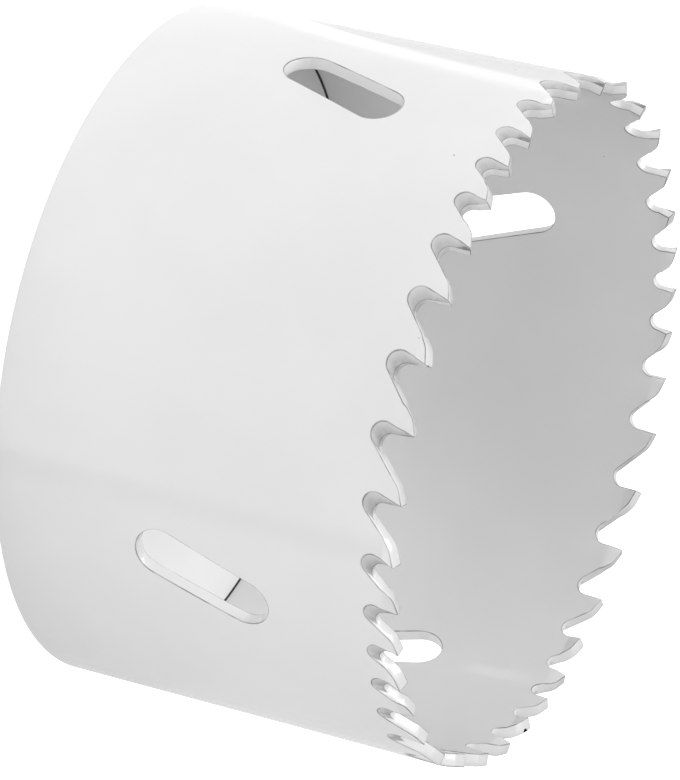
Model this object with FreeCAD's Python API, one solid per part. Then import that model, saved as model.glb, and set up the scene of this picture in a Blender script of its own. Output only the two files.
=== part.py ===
"""Bi-metal hole saw: a toothed cup rolled from strip, with an end plate welded in its closed end.

Lengths are millimetres and angles are degrees.
The cup stands on its closed end: z = 0 is the outer face of the end plate and the teeth point up.
The z axis is the axis of the cup, and one side slot is centred on each of +X, +Y, -X and -Y.
"""

import FreeCAD, Part
import math
import os

# Cup
CUP_DIAMETER = 68.0
CUP_HEIGHT = 41.5
WALL = 1.3
REAR_EDGE_RADIUS = 0.8

# Tooth spacing: long and short pitches follow each other in waves round the rim, and drift
# slowly from a little longer at the first tooth to a little shorter on the other side
TOOTH_PITCH = 5.62
PITCH_SWING = 0.18
PITCH_DRIFT = 0.024
TEETH_PER_WAVE = 8.93
LONGEST_PITCH_AT = 0.91
FIRST_TOOTH_ANGLE = 51.3

# Tooth form, where each swing goes with the wave of the pitch
GULLET_DEPTH = 3.6
GULLET_DEPTH_SWING = 0.45
GULLET_RADIUS = 1.05
GULLET_RADIUS_SWING = 0.15
RAKE_ANGLE = 19.0
RELIEF_ANGLE = 17.0
RELIEF_LENGTH = 1.7
KNEE_RADIUS = 2.0

# Each gullet's round bottom is scooped out from the outside. Below the scoop, the bottom lies
# further up along the next tooth's back.
SCOOP_INSET = 0.43
SCOOP_SHIFT = 1.3

# Tooth set: outward, inward and straight teeth in turn, bent a little above the gullets
TOOTH_SET = 0.35
SET_ORDER = (1, -1, 0)
BEND_ABOVE_GULLET = 0.3

# Side slots, which lean the way the teeth cut
SLOT_COUNT = 4
SLOT_WIDTH = 5.0
SLOT_LENGTH = 14.1
SLOT_CENTRE_HEIGHT = 21.6
SLOT_LEAN = 21.0

# End plate, with a bore for a 5/8-18 thread and round holes for the arbor's drive pins
PLATE_THICKNESS = 4.0
THREAD_BORE_DIAMETER = 14.3
BORE_CHAMFER = 0.6
PIN_HOLE_COUNT = 4
PIN_HOLE_DIAMETER = 7.0
PIN_CIRCLE_DIAMETER = 25.4

# How far a cutting shape runs past the metal that it cuts
OVERCUT = 1.0

CUP_RADIUS = CUP_DIAMETER / 2
CUP_BORE_RADIUS = CUP_RADIUS - WALL
TOOTH_COUNT = round(math.pi * CUP_DIAMETER / TOOTH_PITCH)
SHALLOWEST_GULLET = GULLET_DEPTH - GULLET_DEPTH_SWING - SCOOP_SHIFT
BEND_HEIGHT = CUP_HEIGHT - SHALLOWEST_GULLET + BEND_ABOVE_GULLET
THROUGH_REACH = OVERCUT + TOOTH_SET
Z_AXIS = FreeCAD.Vector(0, 0, 1)
ORIGIN = FreeCAD.Vector(0, 0, 0)


def turned(shape, angle):
    """Return a copy of the shape turned about the cup's axis."""
    copy = shape.copy()
    copy.rotate(ORIGIN, Z_AXIS, angle)
    return copy


def point(x, z, y=0.0):
    """Return a point given in the flat view of the rim: x along the rim, z up."""
    return FreeCAD.Vector(x, y, z)


def wave(gap):
    """Return 1 at the gap with the longest pitch and -1 at the gap with the shortest one."""
    return math.cos(2 * math.pi * (gap + 0.5 - LONGEST_PITCH_AT) / TEETH_PER_WAVE)


def tooth_angles():
    """Return the angle of each tooth's tip, and the first tooth's again one turn later."""
    shares = [
        1 + PITCH_SWING * wave(gap) + PITCH_DRIFT * math.cos(2 * math.pi * gap / TOOTH_COUNT)
        for gap in range(TOOTH_COUNT)
    ]
    degrees_per_share = 360 / sum(shares)
    angles = [FIRST_TOOTH_ANGLE]
    for share in shares:
        angles.append(angles[-1] + share * degrees_per_share)
    return angles


def gullet_bottom(gap, chord, shift):
    """Return the round bottom of the gullet between two tips, chord apart, in the flat view.

    It is given as x, z and the radius, with the slope of the next tooth's back, along which the
    bottom is moved by shift.
    """
    rake = math.radians(RAKE_ANGLE)
    radius = GULLET_RADIUS + GULLET_RADIUS_SWING * wave(gap)
    depth = GULLET_DEPTH + GULLET_DEPTH_SWING * wave(gap) - radius
    x = -chord / 2 + radius / math.cos(rake) - depth * math.tan(rake)
    z = CUP_HEIGHT - depth
    knee_x, knee_z = knee_corner(chord)
    reach = math.hypot(knee_x - x, knee_z - z)
    back = math.atan2(knee_z - z, knee_x - x) + math.asin(radius / reach)
    return x + shift * math.cos(back), z + shift * math.sin(back), radius, back


def knee_corner(chord):
    """Return x and z of the corner between a tooth's relief and its back."""
    drop = RELIEF_LENGTH * math.tan(math.radians(RELIEF_ANGLE))
    return chord / 2 - RELIEF_LENGTH, CUP_HEIGHT - drop


def gullet_outline(gap, chord, shift, y):
    """Return the closed outline that is cut out between two tips, chord apart, at one depth y.

    It runs down the rake face of the first tooth, round the gullet, up the back of the next
    tooth, over that tooth's knee and along its relief to the tip.
    """
    relief = math.radians(RELIEF_ANGLE)
    centre_x, centre_z, radius, back = gullet_bottom(gap, chord, shift)
    across = centre_x + chord / 2
    below = CUP_HEIGHT - centre_z
    rake = math.asin(radius / math.hypot(across, below)) - math.atan2(across, below)
    knee_x, knee_z = knee_corner(chord)
    knee_trim = KNEE_RADIUS * math.tan((back - relief) / 2)
    halfway = (back + relief) / 2

    above = point(-chord / 2 + OVERCUT * math.tan(rake), CUP_HEIGHT + OVERCUT, y)
    rake_end = point(centre_x - radius * math.cos(rake), centre_z + radius * math.sin(rake), y)
    bottom = point(centre_x, centre_z - radius, y)
    back_start = point(centre_x + radius * math.sin(back), centre_z - radius * math.cos(back), y)
    back_end = point(knee_x - knee_trim * math.cos(back), knee_z - knee_trim * math.sin(back), y)
    knee_centre_x = back_end.x + KNEE_RADIUS * math.sin(back)
    knee_centre_z = back_end.z - KNEE_RADIUS * math.cos(back)
    knee_top = point(
        knee_centre_x - KNEE_RADIUS * math.sin(halfway),
        knee_centre_z + KNEE_RADIUS * math.cos(halfway),
        y,
    )
    relief_start = point(
        knee_x + knee_trim * math.cos(relief),
        knee_z + knee_trim * math.sin(relief),
        y,
    )
    relief_end = point(
        chord / 2 + OVERCUT * math.cos(relief),
        CUP_HEIGHT + OVERCUT * math.sin(relief),
        y,
    )
    corner = point(relief_end.x, CUP_HEIGHT + OVERCUT, y)
    return Part.Wire([
        Part.LineSegment(above, rake_end).toShape(),
        Part.Arc(rake_end, bottom, back_start).toShape(),
        Part.LineSegment(back_start, back_end).toShape(),
        Part.Arc(back_end, knee_top, relief_start).toShape(),
        Part.LineSegment(relief_start, relief_end).toShape(),
        Part.LineSegment(relief_end, corner).toShape(),
        Part.LineSegment(corner, above).toShape(),
    ])


def gullet_cutters(angles):
    """Return one cutter for the gullet after each tooth, with its scoop on the outside."""
    cutters = []
    for gap in range(TOOTH_COUNT):
        half_step = math.radians(angles[gap + 1] - angles[gap]) / 2
        chord = 2 * CUP_RADIUS * math.sin(half_step)
        face = -math.sqrt(CUP_RADIUS ** 2 - gullet_bottom(gap, chord, 0.0)[0] ** 2)
        sections = [
            gullet_outline(gap, chord, 0.0, face - THROUGH_REACH),
            gullet_outline(gap, chord, 0.0, face),
            gullet_outline(gap, chord, SCOOP_SHIFT, face + SCOOP_INSET),
            gullet_outline(gap, chord, SCOOP_SHIFT, face + WALL + THROUGH_REACH),
        ]
        cutter = Part.makeLoft(sections, True, True)
        cutters.append(turned(cutter, (angles[gap] + angles[gap + 1]) / 2 + 90))
    return cutters


def slot_outline():
    """Return the round-ended outline of a side slot at y = 0, leaning towards +X."""
    half_width = SLOT_WIDTH / 2
    half_straight = SLOT_LENGTH / 2 - half_width
    outline = Part.Wire([
        Part.LineSegment(point(-half_width, -half_straight), point(-half_width, half_straight)).toShape(),
        Part.Arc(
            point(-half_width, half_straight),
            point(0, half_straight + half_width),
            point(half_width, half_straight),
        ).toShape(),
        Part.LineSegment(point(half_width, half_straight), point(half_width, -half_straight)).toShape(),
        Part.Arc(
            point(half_width, -half_straight),
            point(0, -half_straight - half_width),
            point(-half_width, -half_straight),
        ).toShape(),
    ])
    outline.rotate(ORIGIN, FreeCAD.Vector(0, 1, 0), SLOT_LEAN)
    outline.translate(FreeCAD.Vector(0, 0, SLOT_CENTRE_HEIGHT))
    return outline


def slot_cutters():
    """Return one cutter for each side slot."""
    cutter = Part.Face(slot_outline()).extrude(FreeCAD.Vector(0, WALL + 2 * THROUGH_REACH, 0))
    cutter.translate(FreeCAD.Vector(0, -CUP_RADIUS - THROUGH_REACH, 0))
    return [turned(cutter, 360 / SLOT_COUNT * slot + 90) for slot in range(SLOT_COUNT)]


def plain_ring():
    """Return the cup's wall up to the line where the teeth bend, with its rear edge rounded."""
    section = Part.Wire([
        Part.LineSegment(point(CUP_BORE_RADIUS, 0), point(CUP_RADIUS, 0)).toShape(),
        Part.LineSegment(point(CUP_RADIUS, 0), point(CUP_RADIUS, BEND_HEIGHT)).toShape(),
        Part.LineSegment(point(CUP_RADIUS, BEND_HEIGHT), point(CUP_BORE_RADIUS, BEND_HEIGHT)).toShape(),
        Part.LineSegment(point(CUP_BORE_RADIUS, BEND_HEIGHT), point(CUP_BORE_RADIUS, 0)).toShape(),
    ])
    ring = Part.Face(section).revolve(ORIGIN, Z_AXIS, 360)
    rear_edges = [
        edge for edge in ring.Edges
        if edge.BoundBox.ZMax < WALL / 2 and edge.BoundBox.XMax > CUP_RADIUS - WALL / 2
    ]
    return ring.makeFillet(min(REAR_EDGE_RADIUS, 0.9 * WALL), rear_edges)


def tooth_band(start, end, lean):
    """Return the band of wall above the bend, from one angle to another.

    A lean of 1 takes its top outward by the tooth set, and -1 inward.
    """
    shift = lean * TOOTH_SET
    section = Part.makePolygon([
        point(CUP_BORE_RADIUS, BEND_HEIGHT),
        point(CUP_RADIUS, BEND_HEIGHT),
        point(CUP_RADIUS + shift, CUP_HEIGHT),
        point(CUP_BORE_RADIUS + shift, CUP_HEIGHT),
        point(CUP_BORE_RADIUS, BEND_HEIGHT),
    ])
    return turned(Part.Face(section).revolve(ORIGIN, Z_AXIS, end - start), start)


def gullet_angle(gap, angles):
    """Return the angle of the middle of one gullet's round bottom, below its scoop."""
    start = angles[gap]
    end = angles[gap + 1]
    chord = 2 * CUP_RADIUS * math.sin(math.radians(end - start) / 2)
    x = gullet_bottom(gap, chord, SCOOP_SHIFT)[0]
    return (start + end) / 2 + math.degrees(math.asin(x / CUP_RADIUS))


def toothed_shell():
    """Return the cup's wall with its slots and its teeth."""
    angles = tooth_angles()
    valleys = [gullet_angle(gap, angles) for gap in range(TOOTH_COUNT)]
    cutters = gullet_cutters(angles)
    teeth = []
    for tooth in range(TOOTH_COUNT):
        before = valleys[tooth - 1] - (360 if tooth == 0 else 0)
        band = tooth_band(before, valleys[tooth], SET_ORDER[tooth % len(SET_ORDER)])
        teeth.append(band.cut([cutters[tooth - 1], cutters[tooth]]))
    ring = plain_ring().cut(cutters + slot_cutters())
    return ring.fuse(teeth).removeSplitter()


def end_plate():
    """Return the end plate with its threaded bore and its pin holes."""
    plate = Part.makeCylinder(CUP_BORE_RADIUS, PLATE_THICKNESS)
    bore_radius = THREAD_BORE_DIAMETER / 2
    plate = plate.cut(Part.makeCylinder(bore_radius, PLATE_THICKNESS))
    bore_edges = [
        edge for edge in plate.Edges
        if abs(edge.BoundBox.XMax - bore_radius) < BORE_CHAMFER / 2
        and edge.BoundBox.ZLength < BORE_CHAMFER / 2
    ]
    plate = plate.makeChamfer(BORE_CHAMFER, bore_edges)
    pin_hole = Part.makeCylinder(
        PIN_HOLE_DIAMETER / 2,
        PLATE_THICKNESS,
        FreeCAD.Vector(PIN_CIRCLE_DIAMETER / 2, 0, 0),
    )
    pin_holes = [turned(pin_hole, 360 / PIN_HOLE_COUNT * hole) for hole in range(PIN_HOLE_COUNT)]
    return plate.cut(pin_holes)


def write_parts():
    """Build each piece and write it to its own file."""
    os.makedirs("parts", exist_ok=True)
    pieces = {"toothed_shell": toothed_shell(), "end_plate": end_plate()}
    for name, shape in pieces.items():
        solid = shape.Solids[0]
        print(name, len(shape.Solids), "solid,", round(solid.Volume, 1), "mm3, valid", solid.isValid())
        solid.exportStep("parts/" + name + ".step")


write_parts()
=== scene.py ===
"""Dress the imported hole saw: a white enamelled cup rolled from toothed strip, with its end plate.

The pieces are modelled in millimetres, as on a bench, and brought to metres when they are finished.
The strip lies flat while it is cut, bevelled and set, and is then rolled into the cup.
"""

import logging
import math
from collections.abc import Callable, Iterator
from contextlib import contextmanager
from dataclasses import dataclass, field
from enum import Enum

import bmesh
import bpy
from mathutils import Matrix, Vector


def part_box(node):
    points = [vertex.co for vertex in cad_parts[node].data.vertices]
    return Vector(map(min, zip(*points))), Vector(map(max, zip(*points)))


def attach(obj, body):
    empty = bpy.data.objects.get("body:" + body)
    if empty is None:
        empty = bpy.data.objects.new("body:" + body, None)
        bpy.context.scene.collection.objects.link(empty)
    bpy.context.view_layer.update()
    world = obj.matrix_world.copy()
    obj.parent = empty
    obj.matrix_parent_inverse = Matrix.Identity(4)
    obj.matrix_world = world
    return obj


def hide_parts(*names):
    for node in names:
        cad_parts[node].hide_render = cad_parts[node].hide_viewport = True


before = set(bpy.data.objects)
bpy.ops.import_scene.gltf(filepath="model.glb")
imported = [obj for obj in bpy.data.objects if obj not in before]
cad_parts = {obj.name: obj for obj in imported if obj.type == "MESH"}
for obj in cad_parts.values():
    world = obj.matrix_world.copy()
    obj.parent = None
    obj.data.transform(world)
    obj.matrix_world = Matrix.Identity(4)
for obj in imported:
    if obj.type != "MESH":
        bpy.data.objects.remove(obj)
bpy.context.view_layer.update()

LOG = logging.getLogger("hole_saw")
MM = 0.001
BODY = "root"
PLATE_NODE = "end_plate"
EDGE_ATTRIBUTE = "thin_paint"
SCOOP_ATTRIBUTE = "scoop_painted_shade"

# Tolerances of the bench and the reach of a punch or drill beyond the piece, in millimetres.
CUT_THRESHOLD = 0.0002
MERGE_DISTANCE = 0.0008
OUTWARD_STEP = 1.0

# A rule takes one vertex, edge or face and says whether it is wanted.
Rule = Callable[..., bool]


class Element(Enum):
    """What a selection is made of."""

    VERTEX = "VERT"
    EDGE = "EDGE"
    FACE = "FACE"


class Set(Enum):
    """Which way a tooth is bent out of the strip, as the share of the full set."""

    OUT = 1
    IN = -1
    STRAIGHT = 0


def node_width(node: str) -> float:
    """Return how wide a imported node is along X, in millimetres."""
    low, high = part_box(node)
    return (high[0] - low[0]) / MM


def node_height(node: str) -> float:
    """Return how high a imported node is, in millimetres."""
    low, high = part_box(node)
    return (high[2] - low[2]) / MM


def only(piece: bpy.types.Object) -> None:
    """Select one object alone and make it the active one.

    Args:
        piece: The object that the next operators act on.
    """
    bpy.ops.object.select_all(action="DESELECT")
    piece.select_set(True)
    bpy.context.view_layer.objects.active = piece


@contextmanager
def editing(piece: bpy.types.Object) -> Iterator[None]:
    """Open a piece in edit mode with everything selected, and close it afterwards.

    Args:
        piece: The mesh object to edit.
    """
    only(piece)
    bpy.ops.object.mode_set(mode="EDIT")
    bpy.ops.mesh.select_mode(type=Element.VERTEX.value)
    bpy.ops.mesh.select_all(action="SELECT")
    yield
    bpy.ops.object.mode_set(mode="OBJECT")


def choose(piece: bpy.types.Object, element: Element, rule: Rule) -> None:
    """Select the vertices, edges or faces of a piece in edit mode that a rule accepts.

    Args:
        piece: The piece in edit mode.
        element: What the rule looks at.
        rule: Takes one vertex, edge or face and says whether it is wanted.
    """
    bpy.ops.mesh.select_mode(type=element.value)
    bpy.ops.mesh.select_all(action="DESELECT")
    mesh = bmesh.from_edit_mesh(piece.data)
    items = {Element.VERTEX: mesh.verts, Element.EDGE: mesh.edges, Element.FACE: mesh.faces}[element]
    for item in items:
        if rule(item):
            item.select_set(True)
    bmesh.update_edit_mesh(piece.data)


def choose_again(piece: bpy.types.Object, rule: Rule) -> None:
    """Keep only those of the selected vertices that a rule accepts.

    Args:
        piece: The piece in edit mode.
        rule: Takes one vertex and says whether it stays selected.
    """
    mesh = bmesh.from_edit_mesh(piece.data)
    for vertex in mesh.verts:
        vertex.select_set(vertex.select and rule(vertex))
    mesh.select_flush_mode()
    bmesh.update_edit_mesh(piece.data)


def push(offset: tuple[float, float, float]) -> None:
    """Extrude what is selected by an offset."""
    bpy.ops.mesh.extrude_region_move(TRANSFORM_OT_translate={"value": offset})


def cut_across(place: tuple[float, float, float], normal: tuple[float, float, float]) -> None:
    """Cut the whole mesh in edit mode along a plane and keep both sides.

    Args:
        place: A point of the plane.
        normal: The plane's normal.
    """
    bpy.ops.mesh.select_all(action="SELECT")
    bpy.ops.mesh.bisect(plane_co=place, plane_no=normal, threshold=CUT_THRESHOLD)


def mend(threshold: float) -> None:
    """Merge doubled vertices of the mesh in edit mode and turn its faces outwards."""
    bpy.ops.mesh.select_all(action="SELECT")
    bpy.ops.mesh.remove_doubles(threshold=threshold)
    bpy.ops.mesh.normals_make_consistent(inside=False)


def round_off(width: float, steps: int) -> None:
    """Round the selected edges of the mesh in edit mode."""
    bpy.ops.mesh.bevel(offset=width, segments=steps, affect="EDGES", clamp_overlap=False)


def mark_thin_paint() -> None:
    """Mark the vertices that are selected as places where the paint is thin."""
    marks = bpy.context.object.data.attributes
    if EDGE_ATTRIBUTE in marks:
        marks.active = marks[EDGE_ATTRIBUTE]
    else:
        bpy.ops.geometry.attribute_add(name=EDGE_ATTRIBUTE, domain="POINT", data_type="FLOAT")
    bpy.ops.mesh.attribute_set(value_float=1.0)


def mark_crests(piece: bpy.types.Object) -> None:
    """Mark the crests of the bevels that are selected, where the paint is thin.

    Args:
        piece: The piece in edit mode, with the new faces of its bevels selected.
    """
    crests = {
        vertex.index
        for vertex in bmesh.from_edit_mesh(piece.data).verts
        if all(face.select for face in vertex.link_faces)
    }
    choose(piece, Element.VERTEX, lambda vertex: vertex.index in crests)
    mark_thin_paint()


def apply(piece: bpy.types.Object, kind: str, **settings: object) -> None:
    """Add a modifier with its settings to a piece and apply it.

    Args:
        piece: The piece to change.
        kind: Blender's name of the modifier's type.
        settings: The modifier's properties.
    """
    only(piece)
    modifier = piece.modifiers.new(kind.lower(), kind)
    for key, value in settings.items():
        setattr(modifier, key, value)
    bpy.ops.object.modifier_apply(modifier=modifier.name)


def carve(piece: bpy.types.Object, tool: bpy.types.Object) -> None:
    """Cut a tool's solid out of a piece, and throw the tool away."""
    apply(piece, "BOOLEAN", object=tool, operation="DIFFERENCE", solver="EXACT")
    bpy.data.objects.remove(tool)


def settle(piece: bpy.types.Object, turn: float = 0.0) -> None:
    """Bring a finished piece from millimetres on the bench to its place in metres.

    Args:
        piece: The piece, modelled in millimetres.
        turn: How far it is turned about the cup's axis, in radians.
    """
    only(piece)
    piece.location *= MM
    piece.scale = (MM, MM, MM)
    piece.rotation_euler = (0.0, 0.0, turn)
    bpy.ops.object.transform_apply(location=True, rotation=True, scale=True)


def soften(piece: bpy.types.Object, sharp_above: float) -> None:
    """Shade a piece smoothly, with normals that follow its large faces.

    Args:
        piece: The piece to shade.
        sharp_above: The angle between two faces, in degrees, past which their edge stays sharp.
    """
    only(piece)
    bpy.ops.object.shade_smooth_by_angle(angle=math.radians(sharp_above))
    apply(piece, "WEIGHTED_NORMAL", mode="FACE_AREA_WITH_ANGLE", keep_sharp=True)


def hand_over(
    piece: bpy.types.Object, finish: bpy.types.Material, node: str | None = None
) -> None:
    """Paint a piece, put it on its body and say which solid it stands for.

    Args:
        piece: The finished piece.
        finish: Its material.
        node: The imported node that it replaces, if it replaces one.
    """
    piece.data.materials.clear()
    piece.data.materials.append(finish)
    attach(piece, BODY)
    if node:
        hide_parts(node)
    LOG.info("%s: %d faces, stands for %s", piece.name, len(piece.data.polygons), node)


class Value:
    """A value in a shader: one output socket, with Python's operators for its maths."""

    def __init__(self, bench: "ShaderBench", socket: bpy.types.NodeSocket) -> None:
        """Keep the socket and the bench whose nodes it belongs to."""
        self.bench = bench
        self.socket = socket

    def maths(self, operation: str, *values: "Value | float") -> "Value":
        """Return a Math node's result.

        Args:
            operation: Blender's name of the operation.
            values: The node's inputs in order.

        Returns:
            The result.
        """
        return self.bench.node("ShaderNodeMath", {"operation": operation}, dict(enumerate(values)))

    def __add__(self, other: "Value | float") -> "Value":
        """Return self + other."""
        return self.maths("ADD", self, other)

    def __radd__(self, other: float) -> "Value":
        """Return other + self."""
        return self.maths("ADD", other, self)

    def __sub__(self, other: "Value | float") -> "Value":
        """Return self - other."""
        return self.maths("SUBTRACT", self, other)

    def __rsub__(self, other: float) -> "Value":
        """Return other - self."""
        return self.maths("SUBTRACT", other, self)

    def __mul__(self, other: "Value | float") -> "Value":
        """Return self * other."""
        return self.maths("MULTIPLY", self, other)

    def __rmul__(self, other: float) -> "Value":
        """Return other * self."""
        return self.maths("MULTIPLY", other, self)

    def __truediv__(self, other: "Value | float") -> "Value":
        """Return self / other."""
        return self.maths("DIVIDE", self, other)

    def __pow__(self, other: "Value | float") -> "Value":
        """Return self to the power of other."""
        return self.maths("POWER", self, other)

    def __lt__(self, other: "Value | float") -> "Value":
        """Return 1 where self is less than other, and 0 elsewhere."""
        return self.maths("LESS_THAN", self, other)

    def step(self, start: float, end: float) -> "Value":
        """Return 0 below start and 1 above end, with a smooth rise between them."""
        return self.bench.node(
            "ShaderNodeMapRange",
            {"interpolation_type": "SMOOTHSTEP"},
            {"Value": self, "From Min": start, "From Max": end},
        )

    def higher(self, other: "Value | float") -> "Value":
        """Return the greater of two values."""
        return self.maths("MAXIMUM", self, other)


class ShaderBench:
    """The nodes of one material, or of the sky."""

    def __init__(self, owner: bpy.types.Material | bpy.types.World) -> None:
        """Empty the node tree of a material or a world.

        Args:
            owner: The new material or world.
        """
        self.owner = owner
        self.owner.use_nodes = True
        self.tree = self.owner.node_tree
        self.tree.nodes.clear()

    def node(
        self, kind: str, settings: dict | None = None, inputs: dict | None = None, output: int | str = 0
    ) -> Value:
        """Add a node.

        Args:
            kind: Blender's name of the node's type.
            settings: The node's own properties, which are set first.
            inputs: Values or links of its input sockets, by name or number.
            output: The output socket wanted.

        Returns:
            The output.
        """
        node = self.tree.nodes.new(kind)
        for key, value in (settings or {}).items():
            setattr(node, key, value)
        for key, value in (inputs or {}).items():
            if isinstance(value, Value):
                self.tree.links.new(value.socket, node.inputs[key])
            else:
                node.inputs[key].default_value = value
        return Value(self, node.outputs[output])

    def place(self) -> Value:
        """Return where a point lies on its own object."""
        return self.node("ShaderNodeTexCoord", output="Object")

    def coordinate(self, place: Value, axis: str) -> Value:
        """Return one coordinate of a place, X, Y or Z."""
        return self.node("ShaderNodeSeparateXYZ", {}, {0: place}, axis)

    def reach(self, place: Value) -> Value:
        """Return how far a place lies from the cup's axis."""
        x, y = self.coordinate(place, "X"), self.coordinate(place, "Y")
        return (x * x + y * y) ** 0.5

    def ray(self, kind: str) -> Value:
        """Return 1 for rays of a kind, as the Light Path node names it."""
        return self.node("ShaderNodeLightPath", output=kind)

    def between(self, place: Value, operation: str, other: tuple[float, float, float]) -> Value:
        """Return a number that Vector Math works out from a place and a fixed vector."""
        return self.node("ShaderNodeVectorMath", {"operation": operation}, {0: place, 1: other}, "Value")

    def blend(self, share: Value, first: "Value | tuple", second: "Value | tuple") -> Value:
        """Mix two colours.

        Args:
            share: How much of the second colour there is.
            first: The first colour.
            second: The second colour.

        Returns:
            The mixed colour.
        """
        return self.node("ShaderNodeMix", {"data_type": "RGBA"}, {0: share, 6: first, 7: second}, 2)

    def noise(self, place: Value, scale: float, detail: float = 2.0) -> Value:
        """Return smooth noise from 0 to 1.

        Args:
            place: Where it is read.
            scale: How many of its lumps fit in one metre.
            detail: How many finer layers it has.

        Returns:
            The noise.
        """
        return self.node("ShaderNodeTexNoise", {}, {"Vector": place, "Scale": scale, "Detail": detail})

    def finish(self, shader: Value, output: str = "ShaderNodeOutputMaterial") -> bpy.types.ID:
        """Join the last shader to an output node.

        Args:
            shader: The shader.
            output: Blender's name of the output node's type.

        Returns:
            The finished material or world.
        """
        end = self.tree.nodes.new(output)
        self.tree.links.new(shader.socket, end.inputs["Surface"])
        return self.owner


def grey(level: float) -> tuple[float, float, float, float]:
    """Return a neutral colour of a linear level."""
    return (level, level, level, 1.0)


@dataclass(frozen=True)
class Chip:
    """A spot where the enamel has come off.

    Attributes:
        place: Its middle in the part's frame, in millimetres.
        size: Its radius in millimetres.
    """

    place: tuple[float, float, float]
    size: float


# The spots near the teeth where bare metal shows.
CHIPS = (
    Chip(place=(-6.3, -33.2, 41.3), size=0.35),
    Chip(place=(-24.9, 22.9, 41.4), size=0.16),
    Chip(place=(-28.9, 17.7, 41.4), size=0.1),
)


@dataclass(frozen=True)
class Patches:
    """The unevenness of a thin coat: noise that takes some of the primer back in patches.

    Attributes:
        scale: Lumps of the noise to the metre.
        limits: The noise below which the primer is taken back, and above which it isn't.
        share: How much of it is taken back.
    """

    scale: float
    limits: tuple[float, float]
    share: float

    def shown(self, bench: ShaderBench, place: Value) -> Value:
        """Return how much of the primer stays, up to 1."""
        return (1.0 - self.share) + self.share * bench.noise(place, self.scale).step(*self.limits)


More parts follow.
